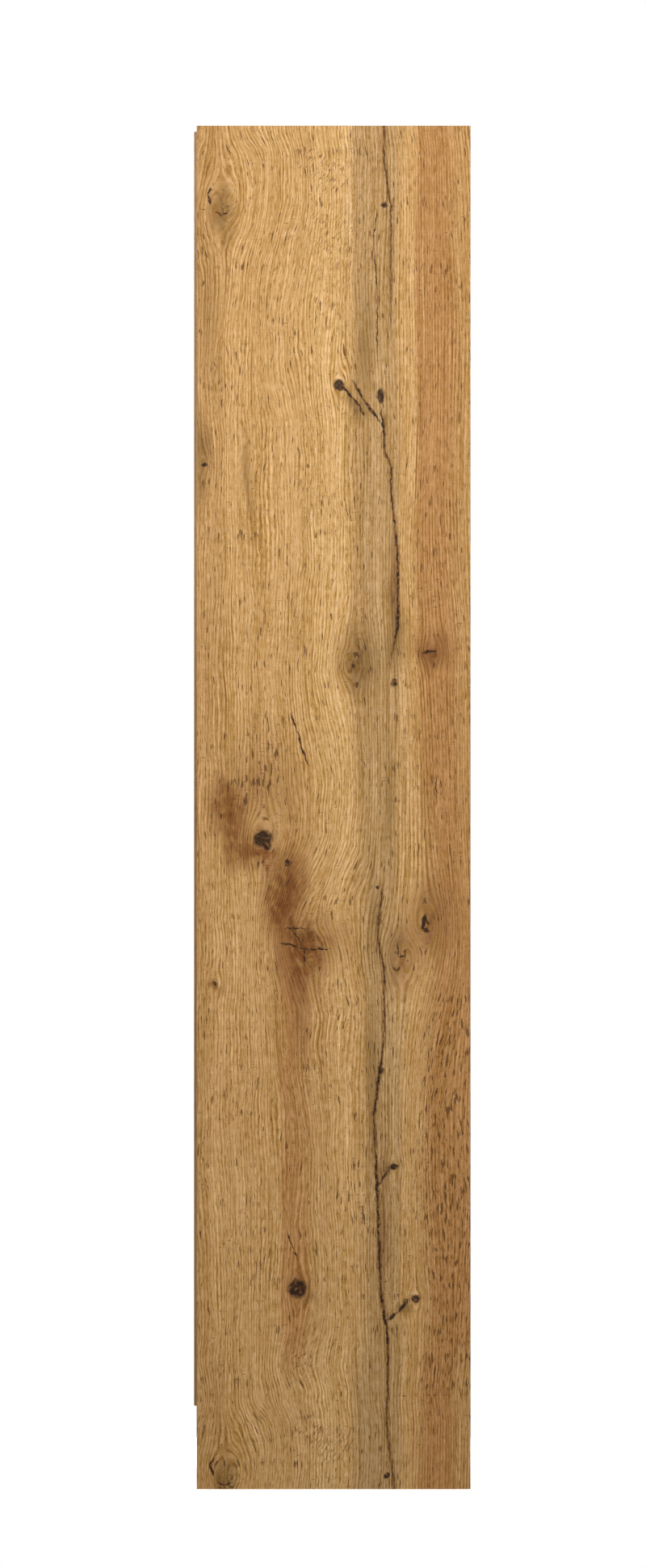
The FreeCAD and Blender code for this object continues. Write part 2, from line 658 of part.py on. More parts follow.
def wall_bracket():
    """A folded angle under the top panel, against the back, with a hole for a wall screw."""
    x = around(BRACKET_X, BRACKET_WIDTH / 2)
    level = box(x, (BACK_FRONT - BRACKET_DEPTH, BACK_FRONT), (CEILING - BRACKET_SHEET, CEILING))
    hanging = box(x, (BACK_FRONT - BRACKET_SHEET, BACK_FRONT), (CEILING - BRACKET_DROP, CEILING))
    angle = fused([level, hanging])
    corners = short_edges(angle, BRACKET_SHEET)
    lower = [e for e in corners if e.BoundBox.ZMax < CEILING - BRACKET_DROP + 1]
    angle = angle.makeFillet(BRACKET_ROUNDING, lower)
    height = CEILING - WALL_HOLE_DROP
    start = V(BRACKET_X, BACK_FRONT - BRACKET_SHEET - 1, height)
    wall_hole = rod(WALL_HOLE, start, V(BRACKET_X, BACK_FRONT + 1, height))
    holes = [screw_hole(WOOD_SCREW, seat, V(0, 0, -1), 2 * SCREW_PLAY) for seat in bracket_screw_seats()]
    return angle.cut([wall_hole] + holes)


# ---- Nodes ----

nodes = {
    "left_side_panel": left_side_panel(),
    "left_side_edge_band": left_side_edge_band(),
    "top_panel": top_panel(),
    "bottom_panel": bottom_panel(),
    "fixed_shelf": fixed_shelf(),
    "plinth_board": plinth_board(),
    "board_edge_bands": Part.makeCompound(board_edge_bands()),
    "back_panel_left": back_panel_left(),
    "back_joint_strip": back_joint_strip(),
    "cam_locks": Part.makeCompound(both_sides([on_joint(cam(), *place) for place in CAM_PLACES])),
    "cam_bolts": Part.makeCompound(both_sides([on_joint(cam_bolt(), *place) for place in CAM_PLACES])),
    "cam_caps": Part.makeCompound(both_sides([on_joint(cam_cap(), *place) for place in CAP_PLACES])),
    "wood_dowels": Part.makeCompound(both_sides([on_joint(dowel(), *place) for place in DOWEL_PLACES])),
    "left_door": door_core(),
    "left_door_edge_band": door_edge_band(),
    "hinge_cups_left": Part.makeCompound([hinge_cup(z) for z in HINGES]),
    "hinge_pins_left": Part.makeCompound([hinge_pin(z) for z in HINGES]),
    "hinge_arms_left": Part.makeCompound([hinge_arm(z) for z in HINGES]),
    "hinge_plates_left": Part.makeCompound([hinge_plate(z) for z in HINGES]),
    "cup_screws_left": Part.makeCompound([screw(WOOD_SCREW, seat, V(0, 1, 0)) for seat in cup_screw_seats()]),
    "push_latch_left": push_latch(),
    "latch_plunger_left": latch_plunger(),
    "latch_strike_left": latch_strike(),
    "wall_bracket_left": wall_bracket(),
}
for number, shelf in enumerate(SHELVES, 1):
    nodes["adjustable_shelf_%d" % number] = adjustable_shelf(shelf)
    nodes["shelf_pins_%d" % number] = Part.makeCompound(shelf_pins(shelf))
for name in [name for name in nodes if "left" in name]:
    nodes[name.replace("left", "right")] = mirrored(nodes[name])
nodes["plate_screws"] = Part.makeCompound(
    both_sides([screw(PLATE_SCREW, seat, V(1, 0, 0)) for seat in plate_screw_seats()])
)
nodes["arm_screws"] = Part.makeCompound(
    both_sides([screw(ARM_SCREW, seat, V(1, 0, 0)) for z in HINGES for seat in arm_screw_seats(z)])
)
nodes["latch_screws"] = Part.makeCompound(
    both_sides([screw(WOOD_SCREW, seat, V(0, 0, -1)) for seat in latch_screw_seats()])
)
nodes["bracket_screws"] = Part.makeCompound(
    both_sides([screw(WOOD_SCREW, seat, V(0, 0, -1)) for seat in bracket_screw_seats()])
)

os.makedirs("parts", exist_ok=True)
for name, shape in nodes.items():
    shape.exportStep("parts/%s.step" % name)
print(len(nodes), "nodes")
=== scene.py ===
import math

import bmesh
import bpy
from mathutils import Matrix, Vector


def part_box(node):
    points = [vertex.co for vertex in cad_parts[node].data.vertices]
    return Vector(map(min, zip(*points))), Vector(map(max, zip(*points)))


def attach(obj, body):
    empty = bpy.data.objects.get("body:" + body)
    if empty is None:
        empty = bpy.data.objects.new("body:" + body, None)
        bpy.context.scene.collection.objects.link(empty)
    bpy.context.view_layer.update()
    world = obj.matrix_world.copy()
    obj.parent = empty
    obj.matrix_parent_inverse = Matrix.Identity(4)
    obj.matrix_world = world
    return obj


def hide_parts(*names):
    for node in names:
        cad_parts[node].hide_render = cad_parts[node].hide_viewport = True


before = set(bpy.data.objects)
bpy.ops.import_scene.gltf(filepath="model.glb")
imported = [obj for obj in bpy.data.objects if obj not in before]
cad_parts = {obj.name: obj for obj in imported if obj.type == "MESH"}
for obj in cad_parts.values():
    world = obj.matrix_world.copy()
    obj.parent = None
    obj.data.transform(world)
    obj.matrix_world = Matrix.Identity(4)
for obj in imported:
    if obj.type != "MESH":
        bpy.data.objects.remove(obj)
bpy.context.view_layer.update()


# Side panels
# The two uprights: 16 mm chipboard faced with printed decor paper under melamine resin. The
# paper shows knotty oak with its grain upright. Bores, grooves and sawn edges show the bare
# chipboard, and the top edge is closed with a printed foil.

def linear(colour):
    """An sRGB hex colour as linear red, green, blue and alpha."""
    parts = [int(colour[i:i + 2], 16) / 255 for i in (0, 2, 4)]
    parts = [p / 12.92 if p <= 0.04045 else ((p + 0.055) / 1.055) ** 2.4 for p in parts]
    return (*parts, 1.0)


def add(tree, kind, values=(), out=0, stops=None, points=None, **settings):
    """Adds one node, sets it up, sets or links its sockets, and returns one of its outputs."""
    node = tree.nodes.new("ShaderNode" + kind)
    for name, value in settings.items():
        setattr(node, name, value)
    pairs = values.items() if isinstance(values, dict) else enumerate(values)
    for key, value in pairs:
        if isinstance(value, bpy.types.NodeSocket):
            tree.links.new(value, node.inputs[key])
        elif value is not None:
            node.inputs[key].default_value = linear(value) if isinstance(value, str) else value
    if stops:
        ramp = node.color_ramp
        while len(ramp.elements) < len(stops):
            ramp.elements.new(0.5)
        for element, (position, colour) in zip(ramp.elements, stops):
            element.position = position
            element.color = linear(colour)
    if points:
        curve = node.mapping.curves[0]
        while len(curve.points) < len(points):
            curve.points.new(0.5, 0.5)
        for point, place in zip(curve.points, points):
            point.location = place
            point.handle_type = "VECTOR"
        node.mapping.update()
    return node.outputs[out]


def new_finish(name, **sockets):
    """A material with one Principled shader. Returns it, its tree and the place in mm."""
    finish = bpy.data.materials.new(name)
    finish.use_nodes = True
    tree = finish.node_tree
    shader = tree.nodes["Principled BSDF"]
    for socket, value in sockets.items():
        shader.inputs[socket.replace("_", " ")].default_value = value
    metres = add(tree, "TexCoord", out="Object")
    place = add(tree, "VectorMath", {0: metres, "Scale": 1000.0}, operation="SCALE")
    return finish, tree, place


def show(tree, colour=None, relief=None, relief_mm=0.1, roughness=None):
    """Links what a finish has worked out to its shader: colour, height from 0 to 1, roughness."""
    shader = tree.nodes["Principled BSDF"]
    if colour is not None:
        tree.links.new(colour, shader.inputs["Base Color"])
    if roughness is not None:
        tree.links.new(roughness, shader.inputs["Roughness"])
    if relief is not None:
        normal = add(tree, "Bump", {"Height": relief, "Distance": relief_mm / 1000})
        tree.links.new(normal, shader.inputs["Normal"])


def coat(names, finishes, choose=None):
    """Gives CAD nodes their finishes. choose takes a face's centre in mm and its normal."""
    for name in names:
        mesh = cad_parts[name].data
        mesh.materials.clear()
        for finish in finishes:
            mesh.materials.append(finish)
        for face in mesh.polygons:
            face.material_index = choose(face.center * 1000, face.normal) if choose else 0


def blots(tree, spot, marks):
    """Adds up soft ellipses: across, along, half width, half length, turn in degrees, strength."""
    total = 0.0
    for across, along, width, length, turn, strength in marks:
        local = add(tree, "Mapping", {
            "Vector": spot,
            "Location": (across, along, 0),
            "Rotation": (0, 0, math.radians(turn)),
            "Scale": (width, length, 1),
        }, vector_type="TEXTURE")
        near = add(tree, "TexGradient", (local,), out="Fac", gradient_type="SPHERICAL")
        total = add(tree, "Math", (near, strength, total), operation="MULTIPLY_ADD")
    return total


def strokes(lines):
    """Turns lines, each a width, a strength and its points, into ellipses laid end to end."""
    marks = []
    for width, strength, *points in lines:
        for (x0, y0), (x1, y1) in zip(points, points[1:]):
            turn = math.degrees(math.atan2(x0 - x1, y1 - y0))
            half = math.hypot(x1 - x0, y1 - y0) / 2
            marks.append(((x0 + x1) / 2, (y0 + y1) / 2, width, half * 1.25, turn, strength))
    return marks


def oak_print():
    """The printed oak of the decor paper. Place is across and along the grain, in mm."""
    tree = bpy.data.node_groups.new("knotty oak print", "ShaderNodeTree")
    tree.interface.new_socket("Place", in_out="INPUT", socket_type="NodeSocketVector")
    tree.interface.new_socket("Color", in_out="OUTPUT", socket_type="NodeSocketColor")
    tree.interface.new_socket("Relief", in_out="OUTPUT", socket_type="NodeSocketFloat")
    place = tree.nodes.new("NodeGroupInput").outputs["Place"]
    across = add(tree, "SeparateXYZ", (place,), out="X")
    along = add(tree, "SeparateXYZ", (place,), out="Y")
    # the printing cylinder turns once for this length of paper
    repeat = 1835.0
    sheet_end = 1970.0
    paper_drift = 4.0

    def noise(vector, width, length, detail=2.0, out="Fac"):
        scaled = add(tree, "VectorMath", (vector, (1 / width, 1 / length, 0)), operation="MULTIPLY")
        return add(tree, "TexNoise", {"Vector": scaled, "Scale": 1.0, "Detail": detail}, out=out)

    def fit(value, low, high, to_low=0.0, to_high=1.0, kind="LINEAR"):
        return add(tree, "MapRange", (value, low, high, to_low, to_high), interpolation_type=kind)

    def sums(operation, *values):
        return add(tree, "Math", values, operation=operation)

    def mix(share, first, second, kind="MIX"):
        return add(tree, "Mix", {0: share, 6: first, 7: second}, out=2, data_type="RGBA",
                   blend_type=kind)

    turns = sums("FLOOR", sums("DIVIDE", sums("SUBTRACT", along, sheet_end - repeat), repeat))
    height = sums("MULTIPLY_ADD", turns, -repeat, along)
    spot = add(tree, "CombineXYZ", (sums("MULTIPLY_ADD", turns, paper_drift, across), height))

    def shaken(width, length, across_mm, along_mm):
        """The place on the sheet, moved about a little, so that no mark has a smooth edge."""
        shake = add(tree, "VectorMath", (noise(place, width, length, 3.0, "Color"), (0.5, 0.5, 0)),
                    operation="SUBTRACT")
        shake = add(tree, "VectorMath", (shake, (2 * across_mm, 2 * along_mm, 0)),
                    operation="MULTIPLY")
        return add(tree, "VectorMath", (spot, shake), operation="ADD")

    # the grain wanders: slow bends, tighter waves on one half, and flow round each knot
    # each knot: across, along, reach, how much longer than wide, push
    knots = (
        (-160, 1855, 30, 1.5, 0.75), (-100, 940, 26, 1.7, 0.8), (-50, 290, 20, 1.6, 0.5),
        (10, 1595, 16, 1.8, 0.6), (135, 815, 22, 2.0, 0.8), (100, 770, 26, 1.6, 0.8),
        (90, 465, 12, 1.4, 0.6), (120, 275, 12, 1.6, 0.7), (-30, 785, 46, 1.5, 0.6),
        (145, 1210, 16, 1.2, 0.6), (30, 1190, 18, 1.8, 0.8), (-170, 730, 10, 1.5, 0.6),
        (-190, 1480, 14, 1.8, 0.8),
    )
    # sideways sweeps of the whole grain: across, along, half width, half length, turn, mm
    sweeps = (
        (0, 1015, 90, 170, 0, -20), (-15, 815, 95, 130, 0, 34), (-60, 1700, 100, 160, 0, 16),
        (-110, 1895, 90, 120, 0, -14), (-30, 640, 60, 120, 0, 14), (-25, 130, 90, 120, 0, 16),
        (150, 560, 60, 200, 0, 8), (-130, 330, 80, 220, 0, -9),
    )
    bend = fit(noise(place, 130, 620, 1.0), 0, 1, -22, 22)
    wavy = fit(across, 10, 70, 1.0, 0.15, "SMOOTHSTEP")
    wave = sums("MULTIPLY", fit(noise(place, 34, 105, 2.0), 0, 1, -7, 7), wavy)
    pushes = blots(tree, spot, sweeps)
    for knot_across, knot_along, reach, stretch, force in knots:
        local = add(tree, "Mapping", {
            "Vector": spot,
            "Location": (knot_across, knot_along, 0),
            "Scale": (reach, reach * stretch, 1),
        }, vector_type="TEXTURE")
        far = add(tree, "VectorMath", (local, local), operation="DOT_PRODUCT", out="Value")
        side = add(tree, "SeparateXYZ", (local,), out="X")
        push = sums("DIVIDE", sums("MULTIPLY", side, -reach * force), sums("ADD", far, 0.45))
        pushes = sums("ADD", pushes, push)
    # nothing is pushed where one turn of the sheet meets the next
    whole = sums("MULTIPLY", fit(height, 135, 190, kind="SMOOTHSTEP"),
                 fit(height, 1970, 1925, kind="SMOOTHSTEP"))
    grain = sums("ADD", sums("ADD", across, bend), sums("MULTIPLY_ADD", pushes, whole, wave))
    flow = add(tree, "CombineXYZ", (grain, along))

    # bands of fast and slow growth, front of the sheet to its back, in five tones of oak:
    # honey lies halfway between straw and tan
    straw, honey, tan, olive, brown = "d2a568", "c89a5e", "bd8f55", "b68e59", "b48149"

    def bands(*stops):
        return add(tree, "ValToRGB", (fit(across_soft, -200, 200),), out="Color",
                   stops=[((mm + 200) / 400, colour) for mm, colour in stops])

    ragged = fit(noise(flow, 6, 380, 3.0), 0, 1, -24, 24)
    across_soft = sums("ADD", sums("MULTIPLY", grain, 0.35), sums("MULTIPLY_ADD", across, 0.65, ragged))
    upper = bands(
        (-155, tan), (-150, honey), (-45, honey), (-20, straw), (20, straw), (35, olive),
        (90, olive), (100, honey), (120, honey), (125, brown), (165, brown), (185, tan))
    lower = bands(
        (-190, tan), (-165, honey), (-75, honey), (-65, brown), (-45, brown), (-30, tan),
        (15, straw), (35, honey), (55, olive), (90, olive), (100, honey), (120, honey),
        (130, tan), (150, brown), (190, brown))
    plank = mix(fit(height, 1150, 750, kind="SMOOTHSTEP"), upper, lower)
    plank = mix(fit(height, 230, 140, kind="SMOOTHSTEP"), plank, upper)

    # tone: broad year bands, the fluted early wood lines, fibres, rays
    broad = fit(noise(flow, 26, 900, 3.0), 0.25, 0.75, -0.5, 0.5)
    middle_bands = fit(noise(flow, 7, 420, 2.0), 0.25, 0.75, -0.5, 0.5)
    fibre = fit(noise(flow, 1.2, 13, 2.0), 0.25, 0.75, -0.5, 0.5)
    long_fibre = fit(noise(flow, 1.5, 120, 1.0), 0.25, 0.75, -0.5, 0.5)
    rays = fit(noise(place, 12, 1.6, 2.0), 0.25, 0.75, -0.5, 0.5)
    blotch = fit(noise(place, 9, 16, 3.0), 0.25, 0.75, -0.5, 0.5)
    drift = fit(noise(flow, 16, 300, 2.0), 0, 1, -3.2, 3.2)
    line_gap = 4.5
    phase = sums("MULTIPLY", sums("ADD", grain, drift), 2 * math.pi / line_gap)
    lines_show = fit(noise(flow, 22, 170, 2.0), 0.3, 0.62, 0.2, 1.0)
    lines = sums("MULTIPLY", sums("SINE", phase), lines_show)
    tone = 0.5
    for layer, share in ((broad, 0.14), (middle_bands, 0.12), (fibre, 0.33), (long_fibre, 0.32),
                         (blotch, 0.14), (rays, 0.08), (lines, 0.12)):
        tone = sums("MULTIPLY_ADD", layer, share, tone)
    # dark wood is browner and light wood paler: half of what the colour is multiplied by
    shade = add(tree, "ValToRGB", (tone,), out="Color", stops=(
        (0.0, "5c4828"), (0.3, "9e946c"), (0.5, "bcbcbc"), (0.7, "d4ddfb"), (0.9, "f0f8ff")))
    colour = mix(1.0, plank, shade, "MULTIPLY")
    colour = add(tree, "VectorMath", {0: colour, "Scale": 2.0}, operation="SCALE")

    # pores: fine dark dashes everywhere, and long coarse ones at the rear edge, low down
    pore = noise(flow, 1.25, 11, 1.0)
    patches = fit(noise(flow, 45, 220, 2.0), 0.3, 0.7, 0.66, 0.58)
    pores = fit(sums("SUBTRACT", pore, patches), 0.0, 0.07, 0.0, 0.55, "SMOOTHSTEP")
    colour = mix(pores, colour, "7a4f22")
    coarse_here = sums("MULTIPLY", fit(grain, 112, 140, kind="SMOOTHSTEP"),
                       fit(height, 820, 640, 0.25, 1.0, "SMOOTHSTEP"))
    coarse = noise(add(tree, "VectorMath", (flow, (37, 0, 0)), operation="ADD"), 2.8, 20, 1.0)
    coarse = sums("SUBTRACT", coarse, fit(coarse_here, 0, 1, 0.72, 0.585))
    coarse = fit(coarse, 0.0, 0.05, 0.0, 0.8, "SMOOTHSTEP")
    colour = mix(coarse, colour, "5d3a16")

    # brown flecks: pores that ran together, along the grain, and rays cut across it
    fleck_along = noise(add(tree, "VectorMath", (flow, (91, 0, 0)), operation="ADD"), 3.0, 24, 1.0)
    fleck_across = noise(add(tree, "VectorMath", (place, (0, 53, 0)), operation="ADD"), 12, 2.2, 2.0)
    # both come in groups, and leave other stretches clear
    rare = fit(noise(place, 60, 90, 2.0), 0.35, 0.65, 0.045, -0.03)
    # short checks open beside the long crack and above the largest knot
    checked = blots(tree, spot, ((40, 390, 40, 130, 0, 1.0), (-100, 1030, 50, 110, 0, 0.8)))
    rare = sums("MULTIPLY_ADD", checked, -0.09, rare)
    flecks = sums("MAXIMUM",
                  fit(sums("SUBTRACT", fleck_along, rare), 0.66, 0.70, 0, 0.8, "SMOOTHSTEP"),
                  fit(sums("SUBTRACT", fleck_across, rare), 0.685, 0.72, 0, 0.6, "SMOOTHSTEP"))
    colour = mix(flecks, colour, "5e3c1a")
    # short slanting scratches of ray cells, in patches
    slant = add(tree, "Mapping", {"Vector": place, "Rotation": (0, 0, math.radians(-32))},
                vector_type="TEXTURE")
    hatch = fit(noise(slant, 1.9, 10, 1.0), 0.56, 0.66, kind="SMOOTHSTEP")
    hatched = blots(tree, spot, (
        (-35, 1925, 30, 25, 0, 1.8), (0, 1900, 40, 30, 0, 1.4), (-5, 1800, 70, 120, 0, 0.7),
        (-45, 190, 40, 45, 0, 0.8), (-150, 1855, 25, 35, 0, 1.0), (150, 420, 60, 200, 0, 0.5)))
    hatch = sums("MULTIPLY", hatch, sums("MINIMUM", hatched, 0.75))
    colour = mix(hatch, colour, "6b441c")

    # stains round the knots: rust-brown and grey-olive clouds that follow the fibres
    rust_clouds = (
        (-150, 970, 35, 70, 15, 1.3), (-115, 920, 55, 40, 20, 1.2), (-70, 860, 40, 90, -10, 1.5),
        (-50, 760, 45, 70, 0, 1.0), (-15, 790, 60, 55, 15, 0.8), (-45, 680, 20, 80, 0, 0.6),
        (145, 1210, 40, 35, 0, 0.9), (140, 825, 50, 80, 0, 0.8), (100, 765, 35, 60, 0, 0.8),
        (90, 1310, 10, 100, 0, 1.0), (75, 380, 10, 160, 0, 0.9), (30, 1195, 35, 60, 0, 0.5),
        (-50, 290, 25, 25, 0, 0.6), (-170, 730, 20, 15, 0, 0.9), (-105, 1020, 70, 110, 0, 0.6),
    )
    olive_clouds = (
        (-160, 1845, 25, 50, 0, 1.8), (-180, 1700, 25, 130, 0, 0.5), (-190, 1495, 20, 90, 0, 1.6),
        (-120, 1450, 10, 110, 5, 1.0), (30, 1570, 40, 20, -45, 1.1), (50, 1660, 20, 120, 0, 0.8),
        (40, 1200, 50, 70, 0, 0.9), (80, 990, 10, 110, 0, 0.5), (60, 830, 15, 100, 0, 0.7),
        (95, 1230, 20, 65, 0, 1.2), (-45, 800, 40, 20, 0, 0.6), (60, 600, 15, 120, 0, 0.7),
        (-35, 280, 20, 15, 0, 0.9), (105, 265, 10, 25, -50, 1.5), (80, 460, 10, 20, -60, 1.2),
    )
    cloud_spot = shaken(14, 60, 14, 34)
    threads = fit(sums("ADD", sums("ADD", fibre, long_fibre), blotch), -0.8, 0.8, 0.05, 1.8)
    rust = sums("MULTIPLY", blots(tree, cloud_spot, rust_clouds), threads)
    colour = mix(fit(rust, 0, 1.15), colour, "a58662", "MULTIPLY")
    olive_stain = sums("MULTIPLY", blots(tree, cloud_spot, olive_clouds), threads)
    colour = mix(fit(olive_stain, 0, 1.1), colour, "c2bda8", "MULTIPLY")

    # knots and small cracks, near black at the heart: first lines, then spots
    hearts = strokes((
        (1.2, 2.0, (65, 1850), (60, 1810), (65, 1720), (65, 1630)),
        (2.2, 2.6, (-175, 1880), (-180, 1870), (-175, 1855)),
        (1.6, 1.6, (-170, 1845), (-160, 1840), (-150, 1845)),
        (1.8, 2.4, (-60, 1120), (-50, 1095), (-45, 1075), (-35, 1045)),
        (1.1, 1.8, (150, 1035), (150, 995)),
        (1.3, 2.0, (-70, 810), (-35, 810)),
        (1.1, 1.8, (-60, 810), (-45, 790)),
        (1.7, 2.6, (-75, 790), (-40, 780), (-5, 780)),
        (1.3, 1.8, (-40, 780), (-40, 755)),
        (4.0, 2.6, (135, 830), (130, 810), (140, 805)),
        (2.4, 1.8, (135, 825), (140, 815)),
        (1.6, 1.8, (95, 790), (95, 770), (105, 770), (105, 780)),
        (2.4, 2.4, (15, 1595), (30, 1575), (40, 1565), (45, 1550)),
        (3.0, 1.8, (30, 1600), (45, 1575), (70, 1540)),
        (1.9, 2.0, (70, 1565), (75, 1520)),
        (1.3, 1.9, (-65, 370), (-55, 345), (-50, 330)),
        (2.4, 1.8, (80, 460), (70, 445), (65, 435)),
        (4.0, 1.6, (110, 275), (95, 255), (80, 245)),
    ))
    hearts += (
        (-100, 940, 17, 14, 20, 2.6), (-95, 930, 8, 10, 0, 2.0), (-50, 290, 17, 15, 30, 2.6),
        (10, 1595, 9, 11, 25, 2.6),
        (-65, 905, 6, 6, 0, 1.8), (65, 870, 4, 4, 0, 2.6), (120, 275, 8, 8, 0, 2.6),
        (90, 465, 9, 5, 0, 2.2), (-170, 730, 4, 4, 0, 2.2), (-185, 1480, 6, 4, 0, 1.8),
        (75, 1855, 6, 5, 0, 2.0), (140, 1210, 14, 3, 8, 1.6), (70, 605, 6, 7, 0, 2.0),
        (30, 1190, 5, 7, 0, 1.2), (70, 1580, 7, 14, 0, 2.0), (90, 1165, 6, 7, 0, 2.0),
    )
    fine_spot = shaken(6, 10, 3.4, 4.5)
    char = blots(tree, fine_spot, hearts)
    # the long crack: where it runs across the sheet, and how wide it gapes, by the height
    crack_at = add(tree, "FloatCurve", {"Value": fit(height, 0, 2000)}, points=[
        (along_mm / 2000, (across_mm - 50) / 50) for along_mm, across_mm in (
            (135, 80), (220, 80), (290, 70), (430, 65), (540, 60), (650, 75), (750, 75),
            (800, 65), (940, 80), (1200, 85), (1250, 95), (1350, 95), (1440, 85), (1480, 85),
            (1500, 75), (1540, 75), (1650, 85), (1850, 85), (1920, 75), (1970, 75))])
    crack_at = fit(crack_at, 0, 1, 50, 100)
    gape = add(tree, "FloatCurve", {"Value": fit(height, 0, 2000)}, points=[
        (along_mm / 2000, width_mm / 4) for along_mm, width_mm in (
            (135, 1.4), (200, 1.5), (250, 3.0), (290, 1.5), (430, 2.6), (500, 1.4), (600, 2.6),
            (650, 1.3), (860, 1.2), (890, 0.0), (1190, 0.0), (1230, 1.6), (1270, 3.0),
            (1300, 1.8), (1540, 1.3), (1560, 0.0), (1650, 0.0), (1750, 1.1), (1970, 1.2))])
    gape = fit(gape, 0, 1, 0, 4)
    fine_across = add(tree, "SeparateXYZ", (fine_spot,), out="X")
    from_crack = sums("ABSOLUTE", sums("SUBTRACT", fine_across, crack_at))
    crack = sums("MULTIPLY", sums("SUBTRACT", gape, from_crack), fit(blotch, -0.35, 0.25, 0.1, 1.2))
    char = sums("ADD", char, sums("MAXIMUM", crack, 0.0))
    shadow = sums("MULTIPLY", fit(from_crack, 0, 4.5, 0.8, 0), sums("MINIMUM", gape, 1.0))
    colour = mix(shadow, colour, "a68757", "MULTIPLY")
    heart = add(tree, "ValToRGB", (noise(place, 5, 6, 3.0),), out="Color", stops=(
        (0.35, "1a0c04"), (0.52, "331a0a"), (0.66, "7a522e")))
    colour = mix(fit(char, 0, 0.9, 0, 0.95), colour, heart)

    output = tree.nodes.new("NodeGroupOutput")
    tree.links.new(colour, output.inputs["Color"])
    relief = sums("SUBTRACT", sums("MULTIPLY_ADD", lines, 0.2, 0.6), sums("MAXIMUM", pores, coarse))
    tree.links.new(relief, output.inputs["Relief"])
    return tree


def decor(name, across, along):
    """Melamine-faced board: the oak print under a matt resin film pressed with fine pores.
    across and along give the place on the sheet as (factors for x, y and z, shift in mm)."""
    finish, tree, place = new_finish(name, Roughness=0.5, Specular_IOR_Level=0.22)
    rows = []
    for factors, shift in (across, along):
        row = add(tree, "VectorMath", (place, factors), operation="DOT_PRODUCT", out="Value")
        rows.append(add(tree, "Math", (row, shift), operation="ADD"))
    sheet = add(tree, "CombineXYZ", rows)
    print_ = tree.nodes.new("ShaderNodeGroup")
    print_.node_tree = oak_print_tree
    tree.links.new(sheet, print_.inputs["Place"])
    show(tree, print_.outputs["Color"], print_.outputs["Relief"], 0.06)
    return finish


oak_print_tree = oak_print()
# each face is cut from another length of the paper
side_faces_apart = 31.3
side_decor = decor("melamine oak decor, sides", ((0, 1, 0), 0),
                   ((-side_faces_apart, 0, 1), 400 * side_faces_apart))

# wood chips pressed with resin: pale and dark flakes, a few millimetres long, with gaps
chipboard, tree, place = new_finish("raw chipboard", Roughness=0.93)
torn = add(tree, "TexNoise", {"Vector": place, "Scale": 1.1, "Detail": 3.0}, out="Color")
torn = add(tree, "VectorMath", {0: torn, "Scale": 3.0}, operation="SCALE")
torn = add(tree, "VectorMath", (place, torn), operation="ADD")
chips = add(tree, "TexVoronoi", {"Vector": torn, "Scale": 0.55, "Randomness": 1.0}, out="Color")
chip = add(tree, "SeparateXYZ", (chips,), out="X")
dust = add(tree, "TexNoise", {"Vector": place, "Scale": 1.7, "Detail": 3.0}, out="Fac")
chip = add(tree, "Math", (chip, 0.6, add(tree, "Math", (dust, 0.4), operation="MULTIPLY")),
           operation="MULTIPLY_ADD")
show(tree, add(tree, "ValToRGB", (chip,), out="Color", stops=(
    (0.1, "76592f"), (0.35, "a98858"), (0.6, "c2a272"), (0.9, "d8bd90"))), chip, 0.3)


def edge_band(name, across, along):
    """ABS edge band, printed with straight oak lines and lacquered: smoother than the faces."""
    finish, tree, place = new_finish(name, Roughness=0.4)
    rows = [add(tree, "VectorMath", (place, row), operation="DOT_PRODUCT", out="Value")
            for row in (across, along)]
    rows = add(tree, "CombineXYZ", rows)
    tone = 0.5
    for width, length, share in ((0.9, 130, 0.5), (2.6, 400, 0.4), (1.1, 18, 0.35)):
        scaled = add(tree, "VectorMath", (rows, (1 / width, 1 / length, 0)), operation="MULTIPLY")
        layer = add(tree, "TexNoise", {"Vector": scaled, "Scale": 1.0, "Detail": 2.0}, out="Fac")
        layer = add(tree, "Math", (layer, 0.5), operation="SUBTRACT")
        tone = add(tree, "Math", (layer, share * 1.6, tone), operation="MULTIPLY_ADD")
    show(tree, add(tree, "ValToRGB", (tone,), out="Color", stops=(
        (0.2, "765430"), (0.45, "a17b4a"), (0.7, "c09a62"), (0.9, "d2ae78"))), tone, 0.03)
    return finish


band_upright = edge_band("printed ABS edge band, upright", (1, 1, 0), (0, 0, 1))
band_across = edge_band("printed ABS edge band, across", (0, 1, 1), (1, 0, 0))
band_deep = edge_band("printed ABS edge band, front to back", (1, 0, 1), (0, 1, 0))


def on_faces(centre, normal, axis, *planes):
    """True where a face lies in one of the planes across an axis, 0 to 2, places in mm."""
    return abs(normal[axis]) > 0.99 and any(abs(centre[axis] - p) < 0.05 for p in planes)


side_low, side_high = [corner * 1000 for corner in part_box("right_side_panel")]
side_planes = (side_low.x, side_high.x, -side_low.x, -side_high.x)
coat(["left_side_panel", "right_side_panel"], [side_decor, chipboard, band_deep],
     lambda centre, normal: 0 if on_faces(centre, normal, 0, *side_planes)
     else 2 if on_faces(centre, normal, 2, side_high.z) else 1)

# Edge bands of the side panels
# A 1 mm strip of printed ABS, glued with hot melt on the front edge of each side. Its long
# corners are scraped round by the edging machine.
coat(["left_side_edge_band", "right_side_edge_band"], [band_upright])

# Boards and shelves
# Top, bottom, middle shelf and four loose shelves: the same faced chipboard with its grain
# from side to side. Dowels and cams join the fixed ones. Their ends and rear edges are sawn.
board_decor = decor("melamine oak decor, boards", ((0, 1, 0), 0), ((1, 0, 5.7), 0))
shelves = [f"adjustable_shelf_{number}" for number in range(1, 5)]
for name in ["top_panel", "bottom_panel", "fixed_shelf", *shelves]:
    low, high = [corner * 1000 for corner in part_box(name)]
    coat([name], [board_decor, chipboard], lambda centre, normal:
         0 if on_faces(centre, normal, 2, low.z, high.z) else 1)

